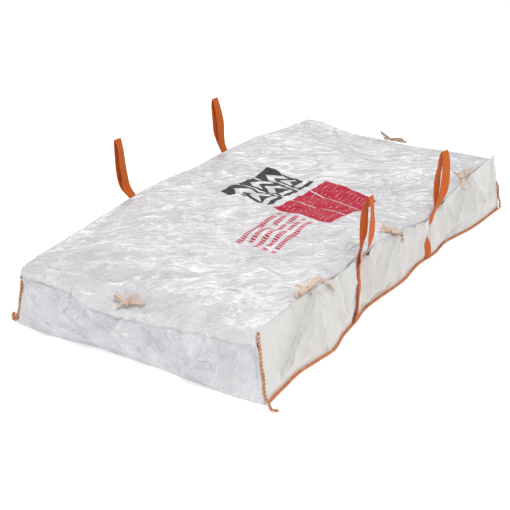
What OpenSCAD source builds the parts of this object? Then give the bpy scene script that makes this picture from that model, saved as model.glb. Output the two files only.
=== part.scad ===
// Flat bulk bag for sheet goods: a long, low fabric box with a tied lid and four lifting loops.
// Millimetres, +Z up. X runs along the bag, the tied side of the lid faces -Y,
// and the origin is on the floor under the middle of the bag.

/* [Bag] */
// Length over the two end walls
bag_length = 2600; // [2000:10:2800]
// Width over the two long walls at their top edge
bag_width = 1225; // [1000:5:1300]
// Height of the walls
bag_height = 318; // [250:1:400]
// How much narrower each long side is at the floor than at the top, half way along
waist_inset = 7.5; // [0:0.5:20]
// How far the floor corners stand out past the middle of the long sides
corner_flare = 85; // [20:1:100]
// How far the top edge of each end wall dips at its middle
end_dip = 45; // [0:1:60]
// Thickness of the fabric panels with their hems
fabric = 2; // [1:0.5:4]

/* [Lid] */
// Rise of the lid's middle above its edges
lid_crown = 30; // [0:1:50]
// How far the lid's end hems hang down outside the end walls
hem_drop = 46; // [20:1:80]

/* [Lifting straps] */
// Width of the webbing
strap_width = 50; // [40:1:70]
// Thickness of one layer of webbing
webbing = 2.5; // [1.5:0.1:4]
// Place of the left straps along the bag
strap_left_x = -450; // [-600:5:-300]
// Place of the right straps along the bag
strap_right_x = 385; // [300:5:600]
// Height of a standing loop above its fold
loop_height = 335; // [250:5:400]
// Widest gap between the two legs of a loop
loop_gap = 46; // [30:1:60]
// How far a standing loop leans out at its top
loop_lean = 62; // [40:1:80]

/* [Ties] */
// Place of the left front tie along the bag
tie_left_x = -880; // [-1000:5:-700]
// Place of the centre front tie along the bag
tie_centre_x = -60; // [-200:5:100]
// Place of the right front tie along the bag
tie_right_x = 870; // [700:5:1000]
// Width of the cotton tape
tape_width = 20; // [15:1:25]
// Thickness of the cotton tape
tape = 1.2; // [0.8:0.1:2]
// Reach of a bow's loops to each side of its knot
bow_reach = 120; // [80:5:150]

/* [Seams] */
// Diameter of the filler cord in the corner seams
cord_diameter = 11; // [8:0.5:14]
// Width of the binding over the bottom seams
binding_width = 20; // [12:1:30]
// Thickness of the binding over the bottom seams
binding = 6; // [3:0.5:8]

/* [Hidden] */

clear = 0.5;                              // gap between pieces that are sewn together
half_length = bag_length / 2;
half_top = bag_width / 2;                 // outer face of a long wall at its top edge
long_steps = 24;                          // facets along the bag
short_steps = 12;                         // facets across the bag
wall_facet = [60, 50];                    // longest facet of a long wall, along and up
lid_gap = 1;                              // lid above the walls' top edges
lid_half_length = half_length + 4.5;
lid_half_width = half_top - 6.5;
lid_rest = bag_height + lid_gap;          // underside of the lid along its front and back edges
dip_power = 6;                            // how close to the ends the lid dips
strap_layers = 2 * webbing + clear;       // two layers of webbing, one on the other
strap_foot = 10;                          // the strap's lower end above the floor
strap_top = bag_height - 4;               // upper end of the sewn strap
fold_rise = 4;                            // loop's fold line above the walls' top edges
stitched_foot = 12;                       // height over which a loop's legs are sewn together
loop_steps = 14;                          // facets along each leg of a loop
bartack_z = [45, 165, 285];               // heights of the stitched bars on a strap
bartack_bar = [40, 4, 1];                 // width, height and thickness of a stitched bar
bartack_clear = 0.3;                      // a stitched bar off the webbing
tab_length = 45;                          // tape sewn to the wall or the lid
tab_inset = 18;                           // lid edge to the bow's sewn line
knot_radius = 10;
knot_sides = 32;
bow_height = 24;                          // height of a bow's loop
bow_steps = 12;                           // facets round a bow's loop
tail_reach = bow_reach * 0.8;             // how far a bow's tail ends from its knot
tail_drop = 12;                           // how far a bow's tail ends below its knot's middle
bow_clear = 2.5;                          // a bow's tails above the lid
cord_top = bag_height - 8;
cord_x = half_length - 5;
cord_sides = 8;
// Route of a cord's free tail: distance out past the top edge, and height.
cord_tail = [[93, 14], [106, 8], [122, 7], [138, 9]];

orange = [0.85, 0.36, 0.08];
film_white = [0.90, 0.90, 0.92];
woven_white = [0.90, 0.90, 0.86];
tape_beige = [0.91, 0.80, 0.69];

function lerp(a, b, t) = a + (b - a) * t;
function bezier(a, b, c, d, t) =
    a * pow(1 - t, 3) + 3 * b * t * pow(1 - t, 2) + 3 * c * t * t * (1 - t) + d * pow(t, 3);
// Half-width of the bag on the floor, a shallow arc along each long side.
function floor_half(x) = half_top - waist_inset + corner_flare * pow(x / half_length, 2);
// Outer face of a long wall, as a distance from the middle of the bag.
function wall_out(x, z) = lerp(floor_half(x), half_top, z / bag_height);
// Top edge of an end wall.
function end_top(y) = bag_height - end_dip * (1 - pow(y / half_top, 2));
// Underside of the lid: crowned in the middle, dipped at the middle of each end.
function lid_under(x, y) =
    let (u = x / lid_half_length, v = y / lid_half_width)
    lid_rest + (1 - v * v) * (lid_crown * (1 - u * u) - end_dip * pow(u, dip_power));

// A closed sheet between two grids of points, first and second, that have the same rows.
module sheet(first, second) {
    rows = len(first);
    cols = len(first[0]);
    points = [for (grid = [first, second]) for (row = grid) each row];
    function at(s, i, j) = (s * rows + i) * cols + j;
    faces_of = [
        for (i = [0 : rows - 2]) for (j = [0 : cols - 2]) each [
            [at(0, i, j), at(0, i + 1, j), at(0, i + 1, j + 1)],
            [at(0, i, j), at(0, i + 1, j + 1), at(0, i, j + 1)],
            [at(1, i, j), at(1, i + 1, j + 1), at(1, i + 1, j)],
            [at(1, i, j), at(1, i, j + 1), at(1, i + 1, j + 1)],
        ],
        for (i = [0 : rows - 2]) each [
            [at(0, i, 0), at(1, i, 0), at(1, i + 1, 0)],
            [at(0, i, 0), at(1, i + 1, 0), at(0, i + 1, 0)],
            [at(0, i, cols - 1), at(1, i + 1, cols - 1), at(1, i, cols - 1)],
            [at(0, i, cols - 1), at(0, i + 1, cols - 1), at(1, i + 1, cols - 1)],
        ],
        for (j = [0 : cols - 2]) each [
            [at(0, 0, j), at(1, 0, j + 1), at(1, 0, j)],
            [at(0, 0, j), at(0, 0, j + 1), at(1, 0, j + 1)],
            [at(0, rows - 1, j), at(1, rows - 1, j), at(1, rows - 1, j + 1)],
            [at(0, rows - 1, j), at(1, rows - 1, j + 1), at(0, rows - 1, j + 1)],
        ],
    ];
    polyhedron(points, faces_of);
}

// Mirrors a piece of the front wall to the back wall when side is 1.
module on_side(side) {
    mirror([0, side > 0 ? 1 : 0, 0]) children();
}

// Mirrors a piece of the left end to the right end when side is 1.
module on_end(side) {
    mirror([side > 0 ? 1 : 0, 0, 0]) children();
}

// A sheet that follows the front wall, from inner to outer millimetres off its outer face.
module wall_patch(x0, x1, z0, z1, inner, outer) {
    steps = ceil((x1 - x0) / wall_facet[0]);
    rows = ceil((z1 - z0) / wall_facet[1]);
    function grid(off) = [
        for (i = [0 : steps])
            let (x = lerp(x0, x1, i / steps))
            [for (k = [0 : rows])
                let (z = lerp(z0, z1, k / rows))
                [x, -wall_out(x, z) - off, z]]
    ];
    sheet(grid(outer), grid(inner));
}

// The base and both end walls are one sheet of fabric, parted here along its two folds.
module base_panel() {
    edge = half_length - fabric - clear;
    function side(s) = [
        for (i = [0 : long_steps])
            let (x = lerp(-edge, edge, i / long_steps))
            [s * x, -s * floor_half(x)]
    ];
    color(film_white) linear_extrude(fabric) polygon(concat(side(1), side(-1)));
}

module end_wall(end) {
    top = [
        for (i = [0 : short_steps])
            let (y = lerp(half_top, -half_top, i / short_steps))
            [y, end_top(y)]
    ];
    foot = floor_half(half_length);
    color(film_white) on_end(end)
        translate([-half_length, 0, 0]) rotate([90, 0, 90]) linear_extrude(fabric)
            polygon(concat([[-foot, 0], [foot, 0]], top));
}

module long_wall(side) {
    edge = half_length - fabric - clear;
    color(woven_white) on_side(side)
        wall_patch(-edge, edge, fabric + clear, bag_height, -fabric, 0);
}

// Flat tape folded over the bottom seam; it follows the floor edge between the corner cords.
module seam_binding(side) {
    reach = cord_x - cord_diameter / 2 - 4;
    function edge(off) = [
        for (i = [0 : long_steps])
            let (x = lerp(-reach, reach, i / long_steps))
            [x, -floor_half(x) - off]
    ];
    outer = edge(clear + binding_width);
    inner = edge(clear);
    color(orange) on_side(side) translate([0, 0, 1]) linear_extrude(binding)
        polygon(concat(outer, [for (i = [long_steps : -1 : 0]) inner[i]]));
}

// A tube along a route of [outward, height] points, in the plane across the bag.
module cord_tube(route, radius) {
    last = len(route) - 1;
    function along(i) =
        let (d = route[min(i + 1, last)] - route[max(i - 1, 0)])
        d / norm(d);
    rings = [
        for (i = [0 : last])
            let (t = along(i))
            [for (k = [0 : cord_sides - 1])
                let (a = 360 * k / cord_sides,
                     p = route[i] + radius * cos(a) * [t[1], -t[0]])
                [radius * sin(a), -p[0], p[1]]]
    ];
    points = [for (ring = rings) each ring];
    walls = [
        for (i = [0 : last - 1]) for (k = [0 : cord_sides - 1])
            let (n = (k + 1) % cord_sides, a = i * cord_sides, b = a + cord_sides)
            each [[a + k, b + k, b + n], [a + k, b + n, a + n]]
    ];
    first_end = [for (k = [0 : cord_sides - 1]) k];
    last_end = [for (k = [cord_sides - 1 : -1 : 0]) last * cord_sides + k];
    polyhedron(points, concat(walls, [first_end], [last_end]));
}

// Corner seam with its filler cord, which runs out past the floor corner as a short tail.
module corner_cord(side, end) {
    stand = cord_diameter / 2 + 1.5;
    held = [
        for (z = [cord_top : -30 : 30])
            [half_top + corner_flare * (1 - z / bag_height) + stand, z]
    ];
    tail = [for (p = cord_tail) p + [half_top, 0]];
    color(orange) on_side(side) translate([end * cord_x, 0, 0])
        cord_tube(concat(held, tail), cord_diameter / 2);
}

// The sewn part of a lifting strap: two layers of webbing up the outside of the wall.
module strap(side, x) {
    color(orange) on_side(side)
        wall_patch(x - strap_width / 2, x + strap_width / 2, strap_foot, strap_top,
                   clear, clear + strap_layers);
}

module strap_bartacks() {
    face = clear + strap_layers + bartack_clear;
    color(orange) for (side = [-1, 1], x = [strap_left_x, strap_right_x], z = bartack_z)
        on_side(side)
            wall_patch(x - bartack_bar[0] / 2, x + bartack_bar[0] / 2, z, z + bartack_bar[1],
                       face, face + bartack_bar[2]);
}

// Middle line of the free loop as it stands, from its inner foot over the top to its outer
// foot: [distance out from the wall, height above the fold].
function loop_line() =
    let (top = [loop_lean + loop_gap / 3, loop_height],
         turn = [12, 6],
         inner_foot = [webbing / 2, 0],
         outer_foot = [strap_layers - webbing / 2, 0])
    concat(
        [for (i = [0 : loop_steps])
            bezier(inner_foot, inner_foot + [0, 120], [loop_lean - 12, 250],
                   top - turn, i / loop_steps)],
        [top],
        [for (i = [0 : loop_steps])
            bezier([top[0] + turn[0], top[1] - turn[1]], [loop_lean + loop_gap + 14, 230],
                   outer_foot + [loop_gap * 0.9, 130], outer_foot, i / loop_steps)]);

// The loop's middle line moved sideways; the feet move level so that they end flat.
function loop_edge(off) =
    let (line = loop_line(), last = len(line) - 1)
    [for (i = [0 : last])
        let (d = line[min(i + 1, last)] - line[max(i - 1, 0)],
             level = [i == 0 ? -1 : 1, 0])
        line[i] + off * (i == 0 || i == last ? level : [-d[1], d[0]] / norm(d))];

module loop(side, x) {
    color(orange) on_side(side)
        translate([x - strap_width / 2, -half_top - clear, bag_height + fold_rise])
            rotate([90, 0, 90]) linear_extrude(strap_width) mirror([1, 0]) difference() {
                polygon(loop_edge(webbing / 2));
                polygon([for (p = loop_edge(-webbing / 2)) if (p[1] > stitched_foot) p]);
            }
}

// Tape sewn to the outside of the wall under a tie.
module front_wall_tab(x) {
    color(tape_beige)
        wall_patch(x - tape_width / 2, x + tape_width / 2,
                   bag_height - tab_length, bag_height - 1, clear, clear + tape);
}

module end_wall_tab(end) {
    top = bag_height - end_dip - 1;
    color(tape_beige) on_end(end)
        translate([-half_length - 0.3 - tape, -tape_width / 2, top - tab_length])
            cube([tape, tape_width, tab_length]);
}

module lid_panel() {
    function grid(rise) = [
        for (i = [0 : long_steps])
            let (x = lerp(-lid_half_length, lid_half_length, i / long_steps))
            [for (j = [0 : short_steps])
                let (y = lerp(-lid_half_width, lid_half_width, j / short_steps))
                [x, y, lid_under(x, y) + rise]]
    ];
    color(film_white) sheet(grid(0), grid(fabric));
}

// Hem strip sewn under the end of the lid; it hangs outside the end wall.
module lid_hem(end) {
    reach = lid_half_width - 6;
    function edge(drop) = [
        for (j = [0 : short_steps])
            let (y = lerp(-reach, reach, j / short_steps))
            [y, lid_under(lid_half_length, y) - drop]
    ];
    top = edge(clear);
    bottom = edge(hem_drop);
    color(film_white) on_end(end)
        translate([-lid_half_length, 0, 0]) rotate([90, 0, 90]) linear_extrude(fabric)
            polygon(concat(bottom, [for (j = [short_steps : -1 : 0]) top[j]]));
}

// Tape sewn to the top of the lid, from its edge inwards.
module lid_patch(x0, x1, y0, y1) {
    steps = 3;
    function grid(off) = [
        for (i = [0 : steps])
            let (x = lerp(x0, x1, i / steps))
            [for (j = [0 : steps])
                let (y = lerp(y0, y1, j / steps))
                [x, y, lid_under(x, y) + fabric + off]]
    ];
    color(tape_beige) sheet(grid(clear), grid(clear + tape));
}

module front_lid_tab(x) {
    start = -lid_half_width + tab_inset + 2;
    lid_patch(x - tape_width / 2, x + tape_width / 2, start, start + tab_length);
}

module end_lid_tab(end) {
    start = -lid_half_length + tab_inset + 2;
    on_end(end) lid_patch(start, start + tab_length, -tape_width / 2, tape_width / 2);
}

// Outline of one loop of a bow, drawn along the edge and upwards from the knot's middle.
function bow_edge(grow) = [
    for (i = [0 : bow_steps])
        let (p = bezier([0, 0], [bow_reach * 1.35, -bow_height * 0.9 - grow],
                        [bow_reach * 1.35, bow_height * 1.3 + grow], [0, 4], i / bow_steps))
        p + [grow * p[0] / bow_reach, 0]
];

// A tied bow with its knot's middle at the origin.
module bow() {
    for (s = [0, 1]) mirror([s, 0]) {
        difference() {
            polygon(bow_edge(tape));
            polygon([for (p = bow_edge(-tape)) if (p[0] > knot_radius * 0.7) p]);
        }
        polygon([
            [0, 0], [tail_reach * 0.6, -tail_drop * 0.55], [tail_reach, -tail_drop],
            [tail_reach, -tail_drop - tape], [tail_reach * 0.6, -tail_drop * 0.55 - tape],
            [0, -tape],
        ]);
    }
    circle(knot_radius, $fn = knot_sides);
}

// Height of a knot's middle when the bow's tails clear the lid at this place.
function knot_height(x, y) = lid_under(x, y) + fabric + bow_clear + tail_drop + tape;

module front_bow(x) {
    y = -lid_half_width + tab_inset - 1;
    color(tape_beige) translate([x, y, knot_height(0, y)])
        rotate([90, 0, 0]) linear_extrude(tape_width) bow();
}

module end_bow(end) {
    x = -lid_half_length + tab_inset - 1;
    color(tape_beige) on_end(end) translate([x, 0, knot_height(x, tail_reach)])
        rotate([90, 0, -90]) linear_extrude(tape_width) bow();
}

base_panel();
end_wall(-1);  // left_end_wall
end_wall(1);  // right_end_wall
long_wall(-1);  // front_wall
long_wall(1);  // back_wall
seam_binding(-1);  // front_seam_binding
seam_binding(1);  // back_seam_binding
corner_cord(-1, -1);  // corner_cord_front_left
corner_cord(-1, 1);  // corner_cord_front_right
corner_cord(1, -1);  // corner_cord_back_left
corner_cord(1, 1);  // corner_cord_back_right
strap(-1, strap_left_x);  // strap_front_left
strap(-1, strap_right_x);  // strap_front_right
strap(1, strap_left_x);  // strap_back_left
strap(1, strap_right_x);  // strap_back_right
strap_bartacks();
loop(-1, strap_left_x);  // loop_front_left
loop(-1, strap_right_x);  // loop_front_right
loop(1, strap_left_x);  // loop_back_left
loop(1, strap_right_x);  // loop_back_right
front_wall_tab(tie_left_x);  // wall_tab_front_left
front_wall_tab(tie_centre_x);  // wall_tab_front_centre
front_wall_tab(tie_right_x);  // wall_tab_front_right
end_wall_tab(-1);  // wall_tab_left_end
end_wall_tab(1);  // wall_tab_right_end
lid_panel();
lid_hem(-1);  // lid_hem_left
lid_hem(1);  // lid_hem_right
front_lid_tab(tie_left_x);  // lid_tab_front_left
front_lid_tab(tie_centre_x);  // lid_tab_front_centre
front_lid_tab(tie_right_x);  // lid_tab_front_right
end_lid_tab(-1);  // lid_tab_left_end
end_lid_tab(1);  // lid_tab_right_end
front_bow(tie_left_x);  // bow_front_left
front_bow(tie_centre_x);  // bow_front_centre
front_bow(tie_right_x);  // bow_front_right
end_bow(-1);  // bow_left_end
end_bow(1);  // bow_right_end
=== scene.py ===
"""The looks of a flat bulk bag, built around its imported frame. Metres, +Z up.

X runs along the bag, the tied side of the lid faces -Y, and the floor is at z = 0.
"""
import math

import bpy
import numpy as np
from mathutils import Matrix, Vector


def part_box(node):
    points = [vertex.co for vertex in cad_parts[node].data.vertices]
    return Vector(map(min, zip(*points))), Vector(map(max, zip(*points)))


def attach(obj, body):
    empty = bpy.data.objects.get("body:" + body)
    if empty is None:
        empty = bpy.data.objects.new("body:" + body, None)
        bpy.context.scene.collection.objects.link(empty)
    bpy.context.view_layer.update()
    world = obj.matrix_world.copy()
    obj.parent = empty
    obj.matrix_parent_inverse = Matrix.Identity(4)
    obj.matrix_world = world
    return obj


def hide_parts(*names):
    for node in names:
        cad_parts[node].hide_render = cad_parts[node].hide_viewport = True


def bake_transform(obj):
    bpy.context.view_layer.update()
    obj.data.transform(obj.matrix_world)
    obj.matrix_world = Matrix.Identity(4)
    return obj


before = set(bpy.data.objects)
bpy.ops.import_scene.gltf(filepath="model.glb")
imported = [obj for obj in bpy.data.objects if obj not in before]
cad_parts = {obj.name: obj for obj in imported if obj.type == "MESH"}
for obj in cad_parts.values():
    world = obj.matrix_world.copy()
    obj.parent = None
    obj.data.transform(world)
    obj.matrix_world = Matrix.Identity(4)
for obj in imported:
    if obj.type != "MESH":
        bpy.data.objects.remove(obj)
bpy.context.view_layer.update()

# ---------- sizes from the frame
def span(node, axis):
    """Lowest and highest place of a CAD node along an axis."""
    return [getattr(corner, axis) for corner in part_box(node)]


END_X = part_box("right_end_wall")[1].x           # outer face of an end wall
TOP_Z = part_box("front_wall")[1].z               # top edge of the long walls
FOOT_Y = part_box("base_panel")[1].y              # floor corner of the bag
TOP_Y = -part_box("strap_front_left")[1].y        # near face of a long wall at its top edge
LID_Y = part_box("lid_panel")[1].y
HEM_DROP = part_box("lid_panel")[0].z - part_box("lid_hem_left")[0].z
STRAP_X = {s: sum(span(f"strap_front_{s}", "x")) / 2 for s in ("left", "right")}
STRAP_WIDTH = float(np.ptp(span("strap_front_left", "x")))
TIE_X = {s: sum(span(f"wall_tab_front_{s}", "x")) / 2 for s in ("left", "centre", "right")}
TAPE_WIDTH = float(np.ptp(span("wall_tab_left_end", "y")))
CORD_X = sum(span("corner_cord_front_right", "x")) / 2
CORD_RADIUS = float(np.ptp(span("corner_cord_front_right", "x"))) / 2
TAIL_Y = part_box("corner_cord_back_left")[1].y

SIDES = ((-1, "front"), (1, "back"))
FILM, WALL = 0.0012, 0.0014                     # thickness of the lid, and of the walls and base
WEBBING, RIBBON = 0.0024, 0.0009                # thickness of the straps and of the tie tape
CORD_PITCH = 0.017                              # one turn of a seam cord's thread
END_TIE_Y = 0.04                                # the end ties sit a little behind the middle
OFF_FLOOR = 0.003                               # lower edge of the walls, above the floor
END_LOWER = 0.040                               # top of the end walls, below the lid's rim


# ---------- camera
def make_camera():
    """The view fitted to the photo."""
    azimuth, elevation, roll = (math.radians(a) for a in (-58.65, 24.21, 0.84))
    aim, distance = Vector((-0.34, -0.014, 0.15)), 5.562
    back = Vector((math.sin(azimuth) * math.cos(elevation),
                   -math.cos(azimuth) * math.cos(elevation), math.sin(elevation)))
    right = (-back).cross(Vector((0, 0, 1))).normalized()
    up = right.cross(-back)
    turned_right = math.cos(roll) * right + math.sin(roll) * up
    turned_up = -math.sin(roll) * right + math.cos(roll) * up
    data = bpy.data.cameras.new("camera")
    data.sensor_width, data.lens = 36, 79.7
    data.clip_end = 100
    camera = bpy.data.objects.new("camera", data)
    turn = Matrix((turned_right, turned_up, back)).transposed().to_4x4()
    camera.matrix_world = Matrix.Translation(aim + back * distance) @ turn
    bpy.context.scene.collection.objects.link(camera)
    bpy.context.scene.camera = camera


make_camera()


# ---------- shape tools
def smooth(t):
    t = np.clip(t, 0, 1)
    return t * t * (3 - 2 * t)


def lerp(a, b, t):
    return a + (b - a) * t


def bell(offset, width):
    return np.exp(-(offset / width) ** 2)


def spline(*points):
    """A smooth function through points (place, value), level beyond the first and the last."""
    px, py = np.array(points, float).T
    slope = np.gradient(py, px)

    def at(x):
        x = np.clip(x, px[0], px[-1])
        k = np.clip(np.searchsorted(px, x) - 1, 0, len(px) - 2)
        h = px[k + 1] - px[k]
        t = (x - px[k]) / h
        return ((1 + 2 * t) * (1 - t) ** 2 * py[k] + t * (1 - t) ** 2 * h * slope[k]
                + t * t * (3 - 2 * t) * py[k + 1] + t * t * (t - 1) * h * slope[k + 1])

    return at


def distances(points):
    """How far along a line each of its points is."""
    return np.concatenate([[0], np.cumsum(np.linalg.norm(np.diff(points, axis=0), axis=1))])


def route(points, step):
    """Points every step metres along a smooth curve through the given points."""
    points = np.array(points, float)
    place = distances(points[:, :3])
    curves = [spline(*zip(place, column)) for column in points.T]
    count = max(2, int(round(place[-1] / step)) + 1)
    s = np.linspace(0, place[-1], count)
    return np.stack([curve(s) for curve in curves], -1)


class Noise:
    """Seeded gradient noise in two dimensions, about -0.7 to 0.7."""

    def __init__(self, seed):
        self.angle = np.random.default_rng(seed).uniform(0, 2 * math.pi, (256, 256))

    def __call__(self, x, y):
        i, j = np.floor(x).astype(int), np.floor(y).astype(int)
        fx, fy = x - i, y - j

        def corner(di, dj):
            a = self.angle[(i + di) % 256, (j + dj) % 256]
            return np.cos(a) * (fx - di) + np.sin(a) * (fy - dj)

        sx, sy = smooth(fx), smooth(fy)
        return lerp(lerp(corner(0, 0), corner(1, 0), sx), lerp(corner(0, 1), corner(1, 1), sx), sy)


def folded(noise, x, y):
    """Noise with sharp ridges, as in crumpled film; about -0.5 to 0.5."""
    return 0.5 - 1.9 * np.abs(noise(x, y))


def crease(x, y, start, end, height, width, taper=0.25):
    """A crisp ridge from start to end, steep on its right; it fades out over its last part."""
    (ax, ay), (bx, by) = start, end
    length = math.hypot(bx - ax, by - ay)
    ux, uy = (bx - ax) / length, (by - ay) / length
    along = ((x - ax) * ux + (y - ay) * uy) / length
    right = (x - ax) * uy - (y - ay) * ux
    off = np.hypot(right, np.clip(np.abs(along - 0.5) - 0.5, 0, None) * length)
    width = width * np.where(right > 0, 0.6, 1.5)
    fade = smooth(along / 0.06 + 1) * smooth((1 - along) / taper)
    return height * fade * np.exp(-off / width)


def gather(x, y, knot, height, reach, pleats, seed, hollow=0.02):
    """Pleats that run out from a knot at an edge."""
    dx, dy = x - knot[0], y - knot[1]
    r = np.hypot(dx, dy)
    angle = np.arctan2(dy, dx)
    wobble = 2.2 * Noise(seed)(x * 9, y * 9)
    wave = np.cos(pleats * angle + wobble) + 0.5 * np.cos(1.7 * pleats * angle + seed)
    return height * wave * np.exp(-r / reach) * (1 - np.exp(-r / hollow))


# ---------- mesh tools
def add_object(name, vertices, faces, uvs=None, smooth_shaded=True):
    mesh = bpy.data.meshes.new(name)
    mesh.from_pydata([tuple(v) for v in vertices], [], [tuple(f) for f in faces])
    if uvs is not None:
        layer = mesh.uv_layers.new(name="UVMap")
        corners = np.zeros(len(mesh.loops), int)
        mesh.loops.foreach_get("vertex_index", corners)
        layer.data.foreach_set("uv", np.asarray(uvs, np.float32)[corners].ravel())
    mesh.validate()
    if smooth_shaded:
        mesh.shade_smooth()
    piece = bpy.data.objects.new(name, mesh)
    bpy.context.scene.collection.objects.link(piece)
    return piece


def grid_faces(rows, cols, closed=False):
    wide = cols if closed else cols - 1
    i, j = np.meshgrid(np.arange(rows - 1), np.arange(wide), indexing="ij")
    n = (j + 1) % cols
    quads = np.stack([i * cols + j, i * cols + n, (i + 1) * cols + n, (i + 1) * cols + j], -1)
    return quads.reshape(-1, 4).tolist()


def tube_faces(rows, around):
    """Faces of a tube of rings, closed at both ends."""
    first, last = list(range(around)), list(range((rows - 1) * around, rows * around))
    return grid_faces(rows, around, True) + [first[::-1], last]


def cloth_grid(name, points, uvs, thickness, flip=False):
    """A sheet from a grid of points; its given face is the outer one."""
    rows, cols = points.shape[:2]
    faces = grid_faces(rows, cols)
    if flip:
        faces = [f[::-1] for f in faces]
    piece = add_object(name, points.reshape(-1, 3), faces, uvs.reshape(-1, 2))
    solid = piece.modifiers.new("thickness", "SOLIDIFY")
    solid.thickness, solid.offset = thickness, -1
    return piece


def unit(v):
    return v / np.maximum(np.linalg.norm(v, axis=-1, keepdims=True), 1e-9)


def strip(name, centre, across, width, thickness, columns=6, cup=0.0, skew=(0, 0)):
    """A flat woven band along centre, with its width along across; rounded at both edges."""
    along = unit(np.gradient(centre, axis=0))
    across = unit(across - (across * along).sum(-1, keepdims=True) * along)
    normal = np.cross(along, across)
    s = distances(centre)
    u = np.linspace(-1, 1, columns + 1)
    bulge = np.sqrt(np.clip(1 - np.abs(u) ** 6, 0.12, 1))
    ring = np.concatenate([np.stack([u, bulge], -1), np.stack([u[::-1], -bulge[::-1]], -1)])
    cut = np.zeros(len(centre))
    cut[0], cut[-1] = skew
    rows = []
    for k in range(len(centre)):
        side = ring[:, :1] * width / 2
        lift = ring[:, 1:] * thickness / 2 + cup * (ring[:, :1] ** 2 - 0.4)
        rows.append(centre[k] + side * across[k] + lift * normal[k] + cut[k] * ring[:, :1] * along[k])
    uvs = [(p[0] * width / 2, s[k]) for k in range(len(centre)) for p in ring]
    return add_object(name, np.concatenate(rows), tube_faces(len(rows), len(ring)), uvs)


def rope(name, points, radius, pitch, sides=14):
    """A tightly wound seam cord along points, with its thread turns in relief."""
    centre = route(points, 0.0025)
    along = unit(np.gradient(centre, axis=0))
    side = unit(np.cross(along, np.array([1.0, 0.02, 0.3])))
    other = np.cross(along, side)
    s = distances(centre)
    a = np.linspace(0, 2 * math.pi, sides, endpoint=False)
    turns = 2 * math.pi * s[:, None] / pitch
    relief = 1 + 0.6 * (np.abs(np.cos(a[None] - turns / 2)) - 0.6)
    ends = np.sqrt(np.clip(np.minimum(s, s[-1] - s) / radius, 0.08, 1))[:, None]
    r = (radius * relief * ends)[..., None]
    around = np.cos(a)[None, :, None] * side[:, None] + np.sin(a)[None, :, None] * other[:, None]
    rings = centre[:, None] + r * around
    uvs = [(k / sides, s[i]) for i in range(len(centre)) for k in range(sides)]
    return add_object(name, rings.reshape(-1, 3), tube_faces(len(centre), sides), uvs)


def stitches(name, runs, length=0.006, gap=0.004, radius=0.0007):
    """Short raised stitches along each run: (points, normals), both dense."""
    vertices, faces = [], []
    for points, normals in runs:
        s = distances(points)
        for start in np.arange(0, s[-1] - length, length + gap):
            ends = [np.array([np.interp(q, s, c) for c in points.T]) for q in (start, start + length)]
            up = unit(np.array([np.interp(start, s, c) for c in normals.T]))
            side = unit(np.cross(ends[1] - ends[0], up)) * radius
            middle = (ends[0] + ends[1]) / 2
            first = len(vertices)
            vertices += [ends[0], middle + side, middle + up * radius * 1.2, middle - side,
                         middle - up * radius, ends[1]]
            for a, b in ((1, 2), (2, 3), (3, 4), (4, 1)):
                faces += [(first, first + b, first + a), (first + 5, first + a, first + b)]
    return add_object(name, vertices, faces)


# ---------- outlines of the bag
front_foot = spline((-1.31, 0.657), (-1.12, 0.643), (-1.00, 0.637), (-0.87, 0.652), (-0.74, 0.668),
                    (-0.60, 0.640), (-0.44, 0.622), (-0.30, 0.602), (-0.17, 0.606), (0.08, 0.622),
                    (0.30, 0.604), (0.48, 0.618), (0.62, 0.608), (0.91, 0.652), (1.31, 0.672))
front_top_z = spline((-1.31, 0.334), (-1.16, 0.333), (-1.02, 0.334), (-0.88, 0.336), (-0.69, 0.320),
                     (-0.57, 0.312), (-0.47, 0.334), (-0.40, 0.318), (-0.30, 0.328), (-0.19, 0.322),
                     (-0.08, 0.303), (0.08, 0.287), (0.26, 0.262), (0.41, 0.258), (0.55, 0.275),
                     (0.72, 0.294), (0.87, 0.308), (1.05, 0.31), (1.31, 0.316))
front_lean = spline((-1.31, 0), (-0.9, 0.002), (-0.6, 0.006), (-0.3, 0.012), (0.0, 0.006), (0.2, 0.016),
                    (0.31, 0.024), (0.42, 0.010), (0.6, 0.008), (0.87, 0.004), (1.31, 0))
back_top_z = spline((-1.31, 0.316), (-1.01, 0.328), (-0.80, 0.338), (-0.52, 0.358), (-0.23, 0.371),
                    (0.07, 0.354), (0.33, 0.362), (0.64, 0.357), (1.02, 0.325), (1.31, 0.318))
back_top_y = spline((-1.31, 0.602), (-0.9, 0.624), (-0.45, 0.636), (0.0, 0.63), (0.45, 0.632),
                    (0.9, 0.622), (1.31, 0.613))
left_top_z = spline((-0.62, 0.330), (-0.45, 0.310), (-0.27, 0.287), (-0.10, 0.263), (END_TIE_Y, 0.245),
                    (0.17, 0.262), (0.33, 0.290), (0.48, 0.312), (0.63, 0.322))
right_top_z = spline((-0.62, 0.306), (-0.41, 0.300), (-0.16, 0.280), (END_TIE_Y, 0.270),
                     (0.25, 0.276), (0.45, 0.315), (0.63, 0.320))


def foot_of(x, side):
    """Where a long side meets the floor, as a distance from the middle."""
    return front_foot(x) if side < 0 else TOP_Y - 0.005 + 0.75 * (FOOT_Y - TOP_Y) * (x / END_X) ** 2


def top_of(x, side):
    """The top edge of a long side, as a distance from the middle."""
    return TOP_Y + front_lean(x) if side < 0 else back_top_y(x) - 0.006


def side_at(x, v, side):
    """A long side's smooth face, v of the way up, as a distance from the middle."""
    return lerp(foot_of(x, side), top_of(x, side), v ** 1.2)


def wall_top_z(x, side):
    """Height of a long wall's top edge; the back one ends a little under the lid."""
    return front_top_z(x) if side < 0 else back_top_z(x) - 0.012


wall_noise = {s: [Noise(40 + s), Noise(50 + s), Noise(60 + s)] for s in (-1, 1)}

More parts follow.
